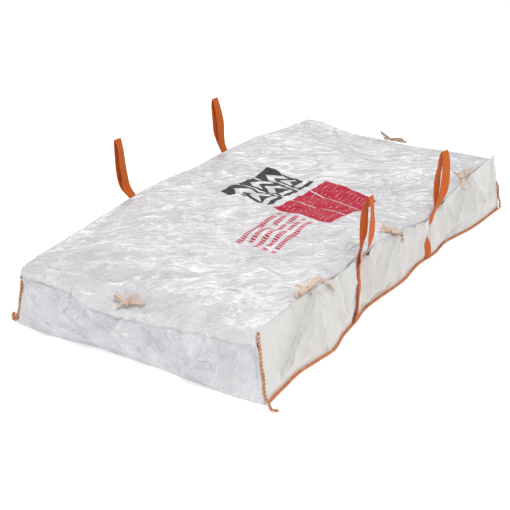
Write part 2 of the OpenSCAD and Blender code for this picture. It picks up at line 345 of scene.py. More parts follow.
WALL_FOLDS, END_FOLDS = (1.65, 1.05), (1.40, 1.35)  # how much higher and wider than listed the folds are made
FRONT_CREASES = [  # start, end, height, width
    ((-0.90, 0.310), (-1.13, 0.035), 0.017, 0.013),
    ((-0.93, 0.305), (-1.22, 0.070), 0.012, 0.011),
    ((-1.00, 0.200), (-1.17, 0.020), -0.010, 0.016),
    ((-0.88, 0.300), (-0.98, 0.040), 0.011, 0.013),
    ((-0.85, 0.290), (-0.80, 0.020), 0.015, 0.012),
    ((-0.84, 0.300), (-0.73, 0.180), 0.010, 0.011),
    ((-1.05, 0.325), (-1.045, 0.215), 0.007, 0.006),
    ((-0.80, 0.120), (-0.80, 0.010), 0.008, 0.006),
    ((-0.70, 0.310), (-0.60, 0.030), 0.013, 0.018),
    ((-0.60, 0.300), (-0.53, 0.080), -0.014, 0.014),
    ((-0.50, 0.320), (-0.52, 0.160), 0.008, 0.010),
    ((-0.38, 0.310), (-0.31, 0.030), 0.024, 0.020),
    ((-0.27, 0.310), (-0.24, 0.060), -0.016, 0.013),
    ((-0.12, 0.300), (-0.18, 0.030), 0.020, 0.014),
    ((-0.08, 0.295), (-0.10, 0.100), 0.012, 0.009),
    ((-0.03, 0.290), (0.02, 0.020), 0.018, 0.013),
    ((0.05, 0.275), (0.12, 0.040), -0.014, 0.012),
    ((0.14, 0.270), (0.20, 0.030), 0.016, 0.015),
    ((0.24, 0.250), (0.29, 0.060), 0.014, 0.016),
    ((0.50, 0.255), (0.62, 0.030), 0.013, 0.020),
    ((0.60, 0.260), (0.74, 0.120), -0.009, 0.014),
    ((0.84, 0.290), (0.72, 0.050), 0.016, 0.013),
    ((0.87, 0.290), (0.88, 0.080), 0.011, 0.010),
    ((0.91, 0.280), (0.98, 0.030), 0.015, 0.012),
    ((0.95, 0.270), (1.12, 0.060), 0.013, 0.014),
    ((1.26, 0.290), (1.17, 0.040), -0.010, 0.018),
    ((-1.24, 0.030), (-0.86, 0.024), 0.004, 0.006),
    ((0.52, 0.040), (0.86, 0.075), 0.009, 0.012),
    ((-0.30, 0.035), (0.00, 0.050), 0.010, 0.012),
]
BACK_CREASES = [
    ((-1.20, 0.290), (-1.02, 0.030), 0.013, 0.026), ((-0.86, 0.310), (-0.92, 0.020), -0.010, 0.030),
    ((-0.55, 0.330), (-0.66, 0.040), 0.014, 0.022), ((-0.36, 0.330), (-0.25, 0.030), 0.014, 0.024),
    ((-0.05, 0.330), (0.04, 0.030), 0.012, 0.034), ((0.30, 0.330), (0.20, 0.030), 0.014, 0.022),
    ((0.48, 0.330), (0.60, 0.040), 0.012, 0.026), ((0.82, 0.310), (0.86, 0.030), -0.010, 0.030),
    ((1.18, 0.290), (1.02, 0.030), 0.012, 0.024),
]


def wall_out(x, z, side):
    """Outer face of a long wall of cloth, as a distance from the middle of the bag."""
    x, z = np.asarray(x, float), np.asarray(z, float)
    v = np.clip(z / wall_top_z(x, side), 0, 1)
    out = side_at(x, v, side)
    hang = np.sin(math.pi * v) ** 0.8 * smooth((END_X - np.abs(x)) / 0.12)
    broad, middle, fine = wall_noise[side]
    out = out + hang * (0.004 + 0.024 * broad(x * 3.1, z * 2.3 + 5))
    out = out + hang * 0.010 * folded(middle, x * 9 + 0.6 * z * 9, z * 5)
    sewn = smooth(v * 8) * smooth((END_X - np.abs(x)) / 0.05)  # flat where it is sewn in
    out = out + sewn * 0.0030 * folded(fine, x * 26, z * 18 + x * 6)
    for start, end, height, width in (FRONT_CREASES if side < 0 else BACK_CREASES):
        out = out + crease(x, z, start, end, WALL_FOLDS[0] * height, WALL_FOLDS[1] * width) * smooth(v * 6)
    if side < 0:
        for k, tie in enumerate(TIE_X.values()):
            out = out + gather(x, z, (tie, float(front_top_z(tie))), 0.013, 0.065, 9, 70 + k, 0.012)
        # a step at the left strap, and a hollow under the right one with a bulge beside it
        step = np.tanh((x + 0.445) / 0.032) * bell(x + 0.445, 0.11)
        out = out - 0.009 * step * smooth(v * 3) * smooth((1.15 - v) / 0.3)
        out = out - 0.040 * bell(x - 0.39, 0.055) * bell(z - 0.145, 0.055)
        out = out + 0.014 * bell(x - 0.29, 0.06) * bell(z - 0.20, 0.05)
    return out


END_CREASES = {  # (y, z) of start and end, height, width
    -1: [
        ((0.60, 0.30), (0.12, 0.05), 0.026, 0.020), ((0.60, 0.26), (0.38, 0.02), 0.018, 0.016),
        ((0.50, 0.28), (0.30, 0.14), -0.012, 0.014), ((0.30, 0.25), (0.02, 0.13), 0.014, 0.014),
        ((0.08, 0.165), (-0.12, 0.02), 0.026, 0.026), ((0.08, 0.165), (0.26, 0.03), 0.012, 0.016),
        ((-0.04, 0.165), (-0.36, 0.07), -0.016, 0.024), ((-0.09, 0.17), (-0.48, 0.02), 0.020, 0.018),
        ((-0.57, 0.28), (-0.26, 0.06), 0.018, 0.020), ((-0.40, 0.24), (-0.30, 0.02), 0.012, 0.012),
        ((-0.59, 0.30), (-0.630, 0.02), -0.026, 0.016), ((-0.62, 0.27), (-0.50, 0.05), 0.016, 0.012),
        ((0.04, 0.16), (0.03, 0.06), 0.010, 0.010), ((0.48, 0.09), (0.06, 0.03), 0.012, 0.012),
    ],
    1: [
        ((-0.58, 0.29), (-0.16, 0.04), 0.020, 0.022), ((-0.60, 0.26), (-0.38, 0.02), 0.014, 0.016),
        ((0.05, 0.22), (0.24, 0.03), 0.016, 0.018), ((0.00, 0.22), (-0.06, 0.03), 0.014, 0.018),
        ((0.58, 0.29), (0.34, 0.03), 0.018, 0.020), ((0.60, 0.30), (0.64, 0.03), -0.020, 0.016),
        ((-0.30, 0.25), (-0.20, 0.12), -0.010, 0.014), ((0.44, 0.12), (0.10, 0.04), 0.010, 0.012),
    ],
}
end_noise = {s: [Noise(80 + s), Noise(85 + s), Noise(90 + s)] for s in (-1, 1)}


def end_out(y, z, end):
    """Outer face of an end wall, as a distance from the middle of the bag."""
    y, z = np.asarray(y, float), np.asarray(z, float)
    v = np.clip(z / TOP_Z, 0, 1)
    edge = smooth((0.66 - np.abs(y)) / 0.10)
    foot = spline((-0.70, 1.292), (-0.52, 1.310), (-0.30, 1.300), (-0.05, 1.288), (0.2, 1.286),
                  (0.45, 1.315), (0.70, 1.305))
    out = lerp(foot(y) + 0.002, END_X - 0.002, smooth(v * 1.1))
    broad, middle, fine = end_noise[end]
    hang = np.sin(math.pi * v) ** 0.7 * edge
    out = out + hang * (0.006 + 0.024 * broad(y * 3.2, z * 3.4 + 2))
    out = out + hang * 0.016 * folded(middle, y * 5 + z * 7, z * 9 - y * 4)
    out = out + smooth(v * 8) * edge * 0.0034 * folded(fine, y * 14 + z * 14, z * 24 - y * 9)
    for start, stop, height, width in END_CREASES[end]:
        fold = crease(y, z, start, stop, END_FOLDS[0] * height, END_FOLDS[1] * width)
        out = out + fold * smooth(v * 5) * edge
    out = out + gather(y, z, (END_TIE_Y, 0.25), 0.003, 0.07, 9, 95 + end) * edge
    return out


# ---------- lid
SPACING = 0.009                                 # between the points of the lid's grid
STREAK = math.radians(-47)                      # the way most of the film's creases run


def scatter(height, xs, ys, count, length, rise, width, angle, spread, seed):
    """Adds random, slightly bent creases to a height grid over xs and ys."""
    rng = np.random.default_rng(seed)
    dx, dy = xs[1] - xs[0], ys[1] - ys[0]
    for _ in range(count):
        cx, cy = rng.uniform(xs[0], xs[-1]), rng.uniform(ys[0], ys[-1])
        half = rng.uniform(*length) / 2
        turn = rng.normal(angle, spread)
        up = rng.uniform(*rise) * rng.choice((-1, 1))
        wide = rng.uniform(*width)
        reach = half + 4 * wide
        i0, i1 = np.clip([(cx - reach - xs[0]) / dx, (cx + reach - xs[0]) / dx + 1], 0, len(xs)).astype(int)
        j0, j1 = np.clip([(cy - reach - ys[0]) / dy, (cy + reach - ys[0]) / dy + 1], 0, len(ys)).astype(int)
        x, y = xs[i0:i1, None] - cx, ys[None, j0:j1] - cy
        bend = rng.uniform(-0.6, 0.6) / half
        along = x * math.cos(turn) + y * math.sin(turn)
        off = -x * math.sin(turn) + y * math.cos(turn) + bend * along ** 2 * 0.35
        fade = smooth((half - np.abs(along)) / (0.7 * half))
        lean = np.where(off > 0, wide, wide * rng.uniform(0.5, 1.0))
        height[i0:i1, j0:j1] += up * fade * np.exp(-np.abs(off) / lean)


def lid_base(x, y):
    """The lid's height without its creases."""
    t = np.clip((y + LID_Y) / (2 * LID_Y), 0, 1)
    front = front_top_z(x) + 0.003
    z = lerp(front, back_top_z(x), t) + 0.014 * (1 - (2 * t - 1) ** 2)
    for end, top, reach in ((-1, left_top_z, 0.17), (1, right_top_z, 0.13)):
        rim = lerp(front_top_z(end * END_X), back_top_z(end * END_X), t)
        z = z + (top(y) - rim) * np.exp(-np.clip(END_X - end * x, 0, None) / reach)
    return z


lid_noise = [Noise(k) for k in range(101, 109)]
FANS = [  # where folds spread from, their directions in degrees, reach, height
    ((-1.26, 0.58), (-14, -24, -33, -41, -48, -55, -63, -72), (0.10, 1.05), 0.011),
    ((-1.26, -0.58), (86, 68, 49, 30, 12), (0.04, 0.45), 0.007),
    ((1.27, 0.58), (-110, -126, -140, -156), (0.08, 0.60), 0.008),
]


def lid_creases(xs, ys):
    x, y = np.meshgrid(xs, ys, indexing="ij")
    c, s = math.cos(STREAK), math.sin(STREAK)
    a, b = x * c + y * s, -x * s + y * c + 0.06 * x ** 2  # along and across the streaks
    a, b = a + 0.06 * lid_noise[0](x * 3, y * 3), b + 0.05 * lid_noise[1](x * 3, y * 3)
    round_part = smooth((-0.05 - y) / 0.35) * smooth((0.7 - x) / 0.6)  # crumpled alike in every direction
    h = 0.030 * lid_noise[2](a * 1.6, b * 2.4)
    h += 0.014 * folded(lid_noise[3], a * 2.0, b * 5.0)
    h += 0.0052 * folded(lid_noise[4], a * 3.6 + 9, b * 11) * (1 - 0.5 * round_part)
    h += 0.0012 * folded(lid_noise[5], a * 10, b * 22) * (1 - 0.6 * round_part)
    h += round_part * 0.0050 * folded(lid_noise[6], x * 7, y * 8)
    h += round_part * 0.0018 * folded(lid_noise[7], x * 19 + 5, y * 20)
    scatter(h, xs, ys, 130, (0.40, 1.10), (0.004, 0.010), (0.014, 0.034), STREAK, 0.22, 1)
    scatter(h, xs, ys, 260, (0.15, 0.45), (0.003, 0.006), (0.010, 0.020), STREAK, 0.45, 2)
    scatter(h, xs, ys, 260, (0.05, 0.16), (0.0008, 0.0025), (0.009, 0.014), 0, 3.0, 3)
    for corner, directions, (near, far), rise in FANS:
        for k, direction in enumerate(directions):
            run = np.array([math.cos(math.radians(direction)), math.sin(math.radians(direction))])
            start, stop = corner + near * run, corner + far * (0.75 + 0.25 * (k % 3)) * run
            h += crease(x, y, start, stop, rise * (1 if k % 2 else -0.7), 0.020, 0.6)
    edge = smooth((LID_Y - np.abs(y)) / 0.05) * 0.75 + 0.25
    h *= edge * (0.25 + 0.75 * smooth((END_X - np.abs(x)) / 0.14))
    for k, tie in enumerate(TIE_X.values()):
        h += gather(x, y, (tie, -LID_Y), 0.006, 0.11, 13, 120 + k, 0.03)
    for k, end in enumerate((-1, 1)):
        h += gather(x, y, (end * END_X, END_TIE_Y), 0.006, 0.12, 11, 130 + k, 0.03)
        h += gather(x, y, (end * (END_X + 0.02), LID_Y + 0.02), 0.009, 0.36, 22, 134 + k, 0.18)
        h += gather(x, y, (end * (END_X + 0.02), -LID_Y - 0.02), 0.005, 0.16, 18, 137 + k, 0.05)
    pucker = bell(x - 0.27, 0.16) * np.exp(-(y + LID_Y) / 0.07)
    h += 0.0035 * pucker * np.cos(2 * math.pi * x / 0.045 + 3 * lid_noise[7](x * 8, y * 6))
    corner = np.hypot(x + END_X, y + LID_Y)
    h -= 0.010 * np.exp(-corner / 0.10)
    return h


TUCK = 0.028                                    # lid's front edge, inside the front wall
LID_FRONT = TOP_Y - 0.004                       # where the lid turns down inside the front wall
LAP = 0.046                                     # lid's back edge, down outside the back wall
skirt_noise = Noise(140)


def roll_over(over, radius):
    """How far out and down a sheet goes, this far along past an edge."""
    out = radius * (1 - np.exp(-over / radius))
    return out, over - 0.8 * out


def end_clearance(y, z, end):
    """How far out the end wall at this side reaches."""
    low = np.minimum(z, np.where(end < 0, left_top_z(y), right_top_z(y)) - END_LOWER)
    beside = [np.where(end < 0, end_out(y + d, low, -1), end_out(y + d, low, 1)) for d in (-0.014, 0, 0.014)]
    return np.max(beside, axis=0) + 0.002 * bell(y - END_TIE_Y, 0.02)


def lid_points():
    """The lid's grid of points, and the flat place of each."""
    reach = END_X + HEM_DROP + 0.024
    xs = np.linspace(-reach, reach, int(2 * reach / SPACING))
    ys = np.linspace(-LID_FRONT - TUCK, LID_Y + LAP, int((LID_FRONT + LID_Y + TUCK + LAP) / SPACING))
    a, b = np.meshgrid(xs, ys, indexing="ij")
    x = np.clip(a, -END_X, END_X)
    y = np.clip(b, -LID_FRONT, back_top_y(x) - 0.004)
    z = lid_base(x, y) + lid_creases(xs, ys)
    dip = 0.018 * np.exp(-(END_X - np.abs(x)) / 0.060)  # towards both ends, less at the back corners
    z = z - dip * (1 - 0.8 * smooth((y - 0.40) / 0.15)) - 0.003 * np.exp(-(y + LID_FRONT) / 0.01)
    end = np.sign(a)
    out, down = roll_over(np.clip(np.abs(a) - END_X, 0, None), 0.026)
    pleat = bell(y - END_TIE_Y, 0.17) * np.cos(2 * math.pi * y / 0.034 + 2 * skirt_noise(y * 9, a))
    loose = 0.4 + skirt_noise(y * 7 + 20 * end, a * 3) + 0.6 * skirt_noise(y * 22, a * 9 + 50)
    hang = np.clip(down / HEM_DROP, 0, 1)
    z = z - down * (1 + 0.10 * skirt_noise(y * 5, end * 9))
    x = np.abs(x) * (1 - 0.020 / END_X) + out
    clear = end_clearance(y, z, end) + 0.0016 + hang * (0.0003 + 0.0006 * loose + 0.0012 * pleat)
    x = end * np.where(out > 0, lerp(x, clear, smooth((out - 0.008) / 0.012)), x)
    front_out, front_down = roll_over(np.clip(-LID_FRONT - b, 0, None), 0.006)
    back_out, back_down = roll_over(np.clip(b - y, 0, None) * (b > 0), 0.004)
    y = y - (front_lean(x) - 0.002) * smooth((-y - 0.40) / 0.20) - 0.5 * front_out
    z = z - front_down - back_down
    lap = np.where(back_out > 0, smooth(back_out / 0.003), 0)
    y = lerp(y + back_out, wall_out(np.clip(x, -END_X, END_X), z, 1) + 0.0014, lap)
    return np.stack([x, y, z], -1), np.stack([a, b], -1)


lid_grid, lid_flat = lid_points()
lid = cloth_grid("lid_cover", lid_grid, lid_flat, FILM, flip=True)


def on_lid(x, y):
    """The lid's surface point over the flat place (x, y), and its upward normal."""
    xs, ys = lid_flat[:, 0, 0], lid_flat[0, :, 1]
    i = int(np.clip(np.searchsorted(xs, x) - 1, 1, len(xs) - 3))
    j = int(np.clip(np.searchsorted(ys, y) - 1, 1, len(ys) - 3))
    t, s = (x - xs[i]) / (xs[i + 1] - xs[i]), (y - ys[j]) / (ys[j + 1] - ys[j])
    low, high = (lerp(lid_grid[i, k], lid_grid[i + 1, k], t) for k in (j, j + 1))
    n = np.cross(lid_grid[i + 1, j] - lid_grid[i - 1, j], lid_grid[i, j + 1] - lid_grid[i, j - 1])
    return lerp(low, high, s), unit(n) * (1 if n[2] > 0 else -1)


# ---------- walls and base
def make_long_wall(side, name):
    xs = np.linspace(-END_X + 0.003, END_X - 0.003, 310)
    vs = np.linspace(0, 1, 40)
    x, v = np.meshgrid(xs, vs, indexing="ij")
    z = OFF_FLOOR + v * (wall_top_z(x, side) - OFF_FLOOR)
    lip = 0.003 * smooth((v - 0.93) / 0.07)
    y = side * (wall_out(x, z, side) + lip * (side < 0))
    points = np.stack([x, y, z], -1)
    return cloth_grid(name, points, np.stack([x, z], -1), WALL, flip=side < 0)


def make_wrap():
    """The base and both ends: one cloth that runs up at each end of the bag."""
    end_rows, base_rows, cols = 36, 110, 132
    rows, flats = [], []
    w = np.linspace(-1, 1, cols)
    base_noise = Noise(150)

    def end_row(end, v):
        half = [side_at(end * END_X, v, side) - 0.001 for side in (-1, 1)]
        y = np.where(w < 0, w * half[0], w * half[1])
        top = left_top_z if end < 0 else right_top_z
        z = OFF_FLOOR + v * (top(y) - END_LOWER - OFF_FLOOR)
        under = smooth((v - 0.96) / 0.04) * 0.002
        rows.append(np.stack([end * (end_out(y, z, end) - under), y, z], -1))
        flats.append(np.stack([np.full(cols, end * (END_X + v * TOP_Z)), y], -1))

    for v in np.linspace(1, 0, end_rows):
        end_row(-1, v)
    for x in np.linspace(-END_X + 0.012, END_X - 0.012, base_rows):
        half_front, half_back = front_foot(x) - 0.003, foot_of(x, 1) - 0.003
        y = np.where(w < 0, w * half_front, w * half_back)
        lift = 0.0022 + 0.010 * np.clip(base_noise(x * 5 + 3, y * 5), 0, None) * smooth((1 - np.abs(w)) / 0.1)
        lift = lift * smooth((END_X - abs(x)) / 0.1) + 0.0022
        rows.append(np.stack([np.full(cols, x), y, lift], -1))
        flats.append(np.stack([np.full(cols, x), y], -1))
    for v in np.linspace(0, 1, end_rows):
        end_row(1, v)
    return cloth_grid("base_and_ends", np.array(rows), np.array(flats), WALL)


front_wall = make_long_wall(-1, "front_wall_cloth")
back_wall = make_long_wall(1, "back_wall_cloth")
wrap = make_wrap()


# ---------- straps with their loops
SEWN = (0.010, 0.06, 0.12, 0.18, 0.24)           # heights of the points along a strap's sewn part
LOOP_SHAPES = {
    # inner and outer leg and the top between them: outward shift from the wall's top, height,
    # and the turn of the webbing's width in degrees; lower is that turn on the sewn part
    "front_left": dict(
        sewn=(*SEWN, 0.285), lower=0, top=(0.060, 0.637, 2),
        inner=[(0.018, 0.345, 7), (0.029, 0.395, 6), (0.035, 0.445, -14), (0.036, 0.50, -20),
               (0.036, 0.56, -13), (0.041, 0.60, -5)],
        outer=[(0.070, 0.60, 8), (0.075, 0.56, 8), (0.078, 0.51, -3), (0.076, 0.45, -4), (0.070, 0.405, 9),
               (0.048, 0.355, 14)]),
    "front_right": dict(
        sewn=(0.010, 0.05, 0.09, 0.13, 0.17, 0.21, 0.25), lower=-14, top=(0.058, 0.609, -16),
        inner=[(0.034, 0.323, 2), (0.031, 0.355, -7), (0.029, 0.417, -17), (0.031, 0.479, -12),
               (0.038, 0.521, -8), (0.043, 0.575, -4)],
        outer=[(0.070, 0.569, -22), (0.074, 0.509, -28), (0.073, 0.444, -34), (0.067, 0.384, -30),
               (0.050, 0.330, -16)]),
    "back_left": dict(
        sewn=(*SEWN, 0.325), lower=0, top=(0.122, 0.640, 0),
        inner=[(0.074, 0.400, -12), (0.080, 0.454, 0), (0.091, 0.521, 0), (0.103, 0.595, 6)],
        outer=[(0.122, 0.595, 4), (0.116, 0.521, 4), (0.106, 0.454, -6), (0.095, 0.400, 4)]),
    "back_right": dict(
        sewn=(*SEWN, 0.330), lower=0, top=(0.088, 0.655, 0),
        inner=[(0.046, 0.400, -6), (0.052, 0.454, -11), (0.053, 0.510, -13), (0.063, 0.575, -9),
               (0.075, 0.620, -4)],
        outer=[(0.092, 0.620, -4), (0.088, 0.575, -8), (0.084, 0.510, -12), (0.078, 0.454, -12),
               (0.056, 0.400, -6)]),
}
STRAP_CLEAR = 0.0022                            # between the wall and the strap


def strap_wander(x, z):
    """How far a strap strays sideways."""
    return 0.005 * np.sin(z * 14 + x * 5)


def make_strap(side, which, x0):
    """One length of webbing: up the wall, round the loop and down again as a second layer."""
    shape, layers = LOOP_SHAPES[which], {}
    for layer, gap in (("outer", STRAP_CLEAR + 1.5 * WEBBING), ("inner", STRAP_CLEAR + 0.5 * WEBBING)):
        knots = []
        for z in shape["sewn"]:
            x = x0 + float(strap_wander(x0, z))
            near, far = (float(wall_out(x + d, z, side)) for d in (-0.02, 0.02))
            surface = (near + far) / 2 + max(0.0, float(wall_out(x, z, side)) - (near + far) / 2)
            twist = math.degrees(math.atan2(side * (far - near), 0.04)) + shape["lower"]
            knots.append((x, side * (surface + gap), z, twist))
        layers[layer] = knots
    loop = [(x0 + float(strap_wander(x0, h)), side * (TOP_Y + o), h, turn)
            for o, h, turn in shape["outer"][::-1] + [shape["top"]] + shape["inner"][::-1]]
    line = route(layers["outer"] + loop + layers["inner"][::-1], 0.006)
    centre, turn = line[:, :3], np.radians(line[:, 3])
    across = np.stack([np.cos(turn), np.sin(turn), 0 * turn], -1)
    return strip(f"strap_and_loop_{which}", centre, across, STRAP_WIDTH, WEBBING, 8, 0.0012)


# ---------- nodes for materials
class Graph:
    """A material's node graph with short ways to add to it."""

    def __init__(self, name):
        self.material = bpy.data.materials.new(name)
        self.material.use_nodes = True
        self.tree = self.material.node_tree
        self.shader = self.tree.nodes["Principled BSDF"]

    def node(self, kind, **values):
        made = self.tree.nodes.new(kind)
        for key, value in values.items():
            setattr(made, key, value)
        return made

    def feed(self, socket, value):
        if isinstance(value, bpy.types.NodeSocket):
            self.tree.links.new(value, socket)
        else:
            socket.default_value = value

    def math(self, operation, *values, clamp=False):
        made = self.node("ShaderNodeMath", operation=operation, use_clamp=clamp)
        for socket, value in zip(made.inputs, values):
            self.feed(socket, value)
        return made.outputs[0]

    def times(self, a, b):
        return self.math("MULTIPLY", a, b)

    def plus(self, a, b):
        return self.math("ADD", a, b)

    def scaled(self, value, by, plus, clamp=False):
        return self.math("MULTIPLY_ADD", value, by, plus, clamp=clamp)

    def wave(self, value, length):
        """A sine over value, one turn each length."""
        return self.math("SINE", self.times(value, 2 * math.pi / length))

    def mix(self, share, a, b):
        made = self.node("ShaderNodeMix", data_type="RGBA")
        self.feed(made.inputs[0], share)
        self.feed(made.inputs[6], a if isinstance(a, bpy.types.NodeSocket) else (*a, 1))
        self.feed(made.inputs[7], b if isinstance(b, bpy.types.NodeSocket) else (*b, 1))
        return made.outputs[2]

    def uv(self):
        parts = self.node("ShaderNodeSeparateXYZ")
        self.feed(parts.inputs[0], self.node("ShaderNodeUVMap", uv_map="UVMap").outputs[0])
        return parts.outputs[0], parts.outputs[1]

    def place(self, scale=(1, 1, 1), turn=0.0):
        """Places turned first and then stretched, so that marks can run any way."""
        made = self.node("ShaderNodeMapping", vector_type="TEXTURE")
        self.feed(made.inputs[0], self.node("ShaderNodeTexCoord").outputs["Object"])
        made.inputs["Scale"].default_value = [1 / k for k in scale]
        made.inputs["Rotation"].default_value = (0, 0, turn)
        return made.outputs[0]

    def noise(self, scale, detail=3.0, roughness=0.55, where=None, distortion=0.0):
        made = self.node("ShaderNodeTexNoise")
        made.inputs["Scale"].default_value = scale
        made.inputs["Detail"].default_value = detail
        made.inputs["Roughness"].default_value = roughness
        made.inputs["Distortion"].default_value = distortion
        self.feed(made.inputs["Vector"], where or self.place())
        return made.outputs[0]

    def ridges(self, scale, where, distortion=0.4):
        """Crumple lines: 1 on sharp ridges, falling away to both sides."""
        n = self.noise(scale, 0.0, 0.5, where, distortion)
        return self.math("SUBTRACT", 1.0, self.math("ABSOLUTE", self.scaled(n, 4.0, -2.0)))

    def weave(self, pitch):
        """Over and under of a plain weave, 0 to 1."""
        u, v = self.uv()
        return self.scaled(self.times(self.wave(u, pitch), self.wave(v, pitch)), 0.5, 0.5)

    def bump(self, height, distance, strength=1.0, below=None):
        made = self.node("ShaderNodeBump")
        made.inputs["Strength"].default_value = strength
        made.inputs["Distance"].default_value = distance
        self.feed(made.inputs["Height"], height)
        if below is not None:
            self.feed(made.inputs["Normal"], below)
        return made.outputs[0]

    def set(self, **values):
        for key, value in values.items():
            self.feed(self.shader.inputs[key.replace("_", " ")], value)
        return self.material


def tint(colour, by, plus=0.0):
    return tuple(min(1, c * by + plus) for c in colour)


def band(g, value, low, high):
    """1 where value is between low and high, with crisp edges."""
    inside = g.math("GREATER_THAN", value, low)
    return g.times(inside, g.math("LESS_THAN", value, high))


def box_mask(g, u, v, x0, x1, y0, y1):
    return g.times(band(g, u, x0, x1), band(g, v, y0, y1))


def either(g, *masks):
    total = masks[0]
    for mask in masks[1:]:
        total = g.math("MAXIMUM", total, mask)
    return total


def without(g, mask, hole):
    return g.times(mask, g.math("SUBTRACT", 1.0, hole))


def chevron_tile(g, u, v, x0, x1, y0, y1):
    """A dark tile with two pale chevrons and a pale foot line."""
    tile = box_mask(g, u, v, x0, x1, y0, y1)
    off = g.math("ABSOLUTE", g.math("SUBTRACT", u, (x0 + x1) / 2))
    level = g.plus(v, off)
    inside = g.math("LESS_THAN", off, (x1 - x0) / 2 - 0.018)
    chevrons = either(g, band(g, level, y1 - 0.085, y1 - 0.030), band(g, level, y1 - 0.175, y1 - 0.120))
    foot = band(g, v, y0 + 0.022, y0 + 0.048)
    return without(g, tile, g.times(inside, either(g, chevrons, foot)))


def bar_rows(g, u, v, pitch, thick, bar, gaps, seed):
    """Rows of short bars of uneven length, as a stand-in for lines of print."""
    row = g.math("FLOOR", g.math("DIVIDE", v, pitch))
    inside = g.math("LESS_THAN", g.math("FRACT", g.math("DIVIDE", v, pitch)), thick)
    made = g.node("ShaderNodeTexWhiteNoise", noise_dimensions="2D")
    pair = g.node("ShaderNodeCombineXYZ")
    g.feed(pair.inputs[0], g.math("FLOOR", g.math("DIVIDE", g.scaled(row, 0.013, u), bar)))
    g.feed(pair.inputs[1], g.plus(row, seed))
    g.feed(made.inputs["Vector"], pair.outputs[0])
    inside = g.times(inside, g.math("LESS_THAN", g.math("FRACT", g.math("DIVIDE", u, bar)), 0.68))
    return g.times(inside, g.math("GREATER_THAN", made.outputs[0], gaps))


GREY_PRINT = (0.035, 0.034, 0.034)
RED_PRINT = (0.50, 0.002, 0.032)
FILM_COLOUR = (0.665, 0.655, 0.672)


def lid_print(g, base):
    """Generic marks in place of the print: chevron tiles, a red panel with pale bars, rows of red bars."""
    u, v = g.uv()
    wobble = g.scaled(g.noise(7.0, 1.0), 0.016, -0.008)
    u, v = g.plus(u, wobble), g.plus(v, wobble)
    grey = either(g, *[chevron_tile(g, u, v, x, x + 0.150, 0.010, 0.295) for x in (-0.18, -0.018, 0.144)])
    panel = box_mask(g, u, v, -0.20, 0.35, -0.345, -0.030)
    lines = either(g, band(g, u, -0.021, -0.014), band(g, u, 0.163, 0.170))
    rows = bar_rows(g, u, v, 0.0235, 0.12, 0.012, 0.60, 7)
    inner = box_mask(g, u, v, -0.180, 0.330, -0.320, -0.055)
    red = without(g, panel, either(g, lines, g.times(rows, inner)))
    block = box_mask(g, u, v, -0.62, -0.22, -0.290, -0.060)
    red = either(g, red, g.times(bar_rows(g, u, v, 0.047, 0.55, 0.016, 0.16, 3), block))
    worn = g.scaled(g.noise(55.0, 4.0, 0.7), 0.25, 0.86, clamp=True)
    colour = g.mix(g.times(grey, worn), base, GREY_PRINT)
    return g.mix(g.times(red, worn), colour, RED_PRINT), either(g, grey, red)


def film_material(name, colour, printed, gloss, crumple, white):
    """Crumpled film: printed or not, its roughness, its relief, and how strongly its folds are painted white
    as highlights.
    """
    g = Graph(name)
    streaked = g.place((1.0, 2.0, 1.0), STREAK)
    rounder = g.place((1.0, 1.5, 1.0), STREAK)
    broad, middle = g.ridges(6.0, streaked, 0.8), g.ridges(14.0, streaked, 1.5)
    small = g.ridges(32.0, rounder, 1.2)
    # painted shade and light: patchy darker and lighter tone along the streaks, standing in for the soft
    # shading of the film's folds
    cloudy = g.scaled(g.noise(5.0, 3.0, 0.6, streaked), 2.4, -0.7, clamp=True)
    base = g.mix(cloudy, tint(colour, 0.88), tint(colour, 1.08))
    # painted highlights: the sharpest folds are painted white, standing in for glints, with some real
    # whitening of creased film
    some = g.scaled(g.noise(11.0, 2.0), 4.0, -1.7, clamp=True)
    sharp = either(g, *[g.math("POWER", g.math("MAXIMUM", ridge, 0.0), power)
                        for ridge, power in ((middle, 8.0), (small, 6.0))])
    base = g.mix(g.times(g.times(some, sharp), white), base, (0.93, 0.93, 0.94))
    rough = g.scaled(g.noise(30.0, 3.0), 0.14, gloss - 0.07)
    if printed:
        base, ink = lid_print(g, base)
        rough = g.scaled(ink, 0.60, rough)
    here = g.scaled(g.noise(4.0, 2.0), 4.5, -1.7, clamp=True)
    there = g.scaled(g.noise(6.5, 2.0), 5.0, -2.2, clamp=True)
    first = g.bump(broad, 0.0060 * crumple)
    second = g.bump(g.times(middle, here), 0.0036 * crumple, below=first)
    third = g.bump(g.times(small, there), 0.0018 * crumple, below=second)
    weave = g.bump(g.weave(0.005), 0.0002, 0.5, third)
    return g.set(Base_Color=base, Roughness=rough, Normal=weave)


def woven_material(name, colour):
    g = Graph(name)
    base = g.mix(g.noise(3.0, 4.0), tint(colour, 0.94), tint(colour, 1.04))
    stretched = g.place((1.0, 1.0, 0.45))
    first = g.bump(g.ridges(7.0, stretched), 0.009)
    second = g.bump(g.ridges(20.0, stretched), 0.0022, below=first)
    weave = g.bump(g.weave(0.005), 0.0003, 0.8, second)
    rough = g.scaled(g.noise(40.0, 3.0), 0.16, 0.26)
    return g.set(Base_Color=base, Roughness=rough, Normal=weave, Coat_Weight=0.7, Coat_Roughness=0.12)


